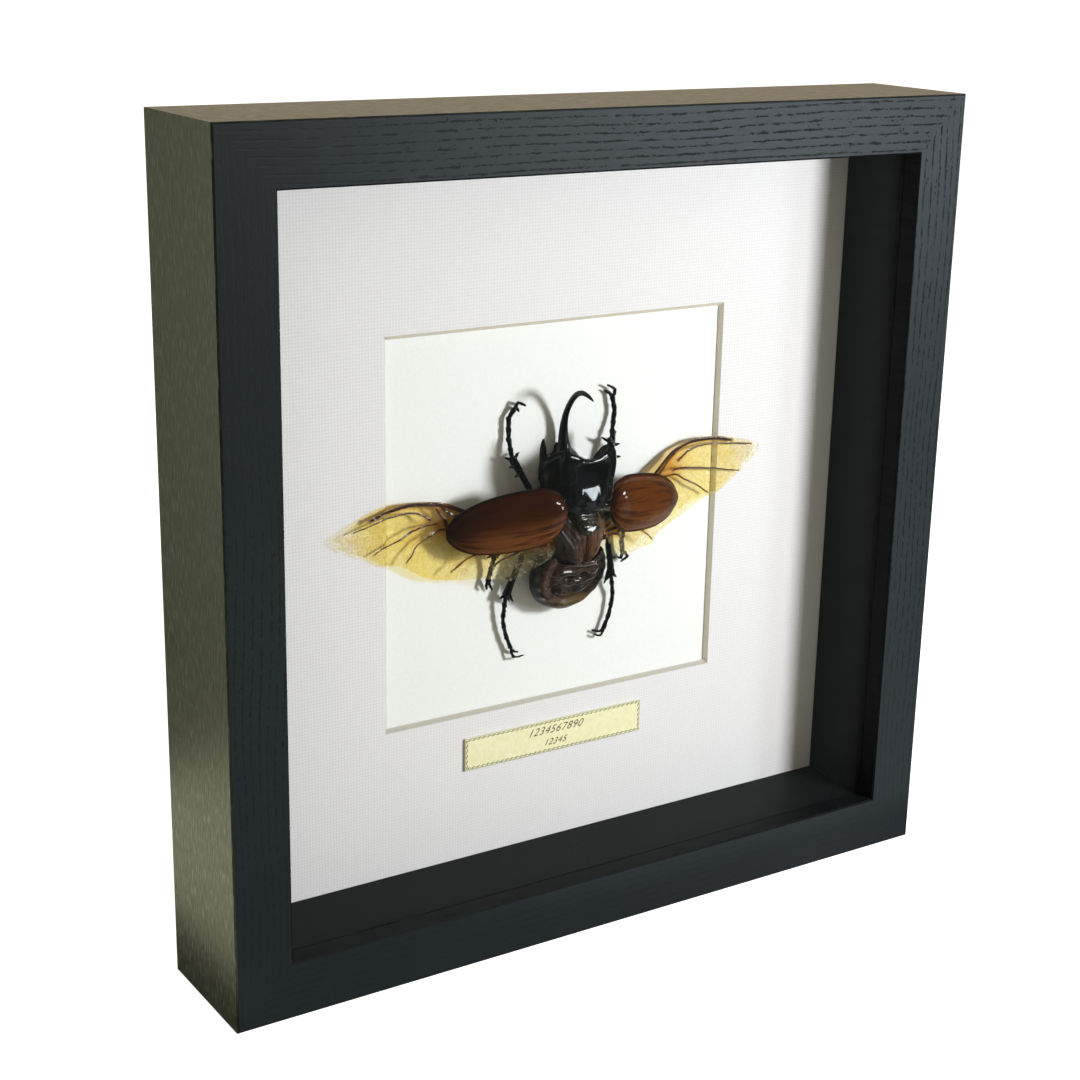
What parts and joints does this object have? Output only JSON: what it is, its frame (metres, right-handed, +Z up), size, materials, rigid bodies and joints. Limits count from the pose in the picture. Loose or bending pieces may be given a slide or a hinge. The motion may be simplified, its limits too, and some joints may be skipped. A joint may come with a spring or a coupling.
{
  "type": "framed five-horned rhinoceros beetle",
  "caption": "Life-size rhinoceros beetle specimen with spread wings and a long curved head horn, mounted above a label in a deep square black box frame with glass.",
  "frame": {"origin": "middle of the footprint that the frame stands on", "axes": "+X to the right across the frame's front, +Y from the front into the case, +Z up towards the beetle's head"},
  "size_m": [0.25, 0.0428, 0.25],
  "materials": {
    "black_wood": "open-grained ash stained black, satin",
    "black_liner": "smooth black paint, matte",
    "clear_glass": "clear picture glass",
    "linen_mat": "off-white card with a linen weave",
    "white_board": "smooth white board",
    "hardboard": "brown hardboard, matte",
    "label_paper": "cream paper with a printed border",
    "steel": "zinc-coated sheet",
    "black_shell": "glossy black insect shell",
    "brown_shell": "satin reddish-brown insect shell",
    "brown_back": "satin brown insect shell",
    "dark_belly": "glossy dark brown insect shell",
    "amber_membrane": "translucent amber membrane"
  },
  "bodies": {
    "root": {"frame_bottom": "black_wood", "frame_left": "black_wood", "frame_top": "black_wood", "frame_right": "black_wood", "liner_bottom": "black_liner", "liner_left": "black_liner", "liner_top": "black_liner", "liner_right": "black_liner", "glass_pane": "clear_glass", "window_mat": "linen_mat", "mount_board": "white_board", "back_panel": "hardboard", "label": "label_paper", "back_tab_1": "steel", "back_tab_2": "steel", "back_tab_3": "steel", "back_tab_4": "steel", "back_tab_5": "steel", "back_tab_6": "steel", "back_tab_7": "steel", "back_tab_8": "steel", "hanger": "steel", "pronotum": "black_shell", "thorax": "brown_back", "scutellum": "black_shell", "abdomen": "dark_belly", "head": "black_shell", "horn_head": "black_shell", "mouthparts": "black_shell", "eye_left": "black_shell", "eye_right": "black_shell", "antenna_left": "black_shell", "antenna_right": "black_shell", "horn_front_left": "black_shell", "horn_front_right": "black_shell", "horn_upper_left": "black_shell", "horn_upper_right": "black_shell", "leg_front_left": "black_shell", "leg_front_right": "black_shell", "leg_mid_left": "black_shell", "leg_mid_right": "black_shell", "leg_hind_left": "black_shell", "leg_hind_right": "black_shell", "tarsus_front_left": "black_shell", "tarsus_front_right": "black_shell", "tarsus_mid_left": "black_shell", "tarsus_mid_right": "black_shell", "tarsus_hind_left": "black_shell", "tarsus_hind_right": "black_shell", "wing_left": "amber_membrane", "wing_right": "amber_membrane", "elytron_left": "brown_shell", "elytron_right": "brown_shell"}
  },
  "joints": []
}
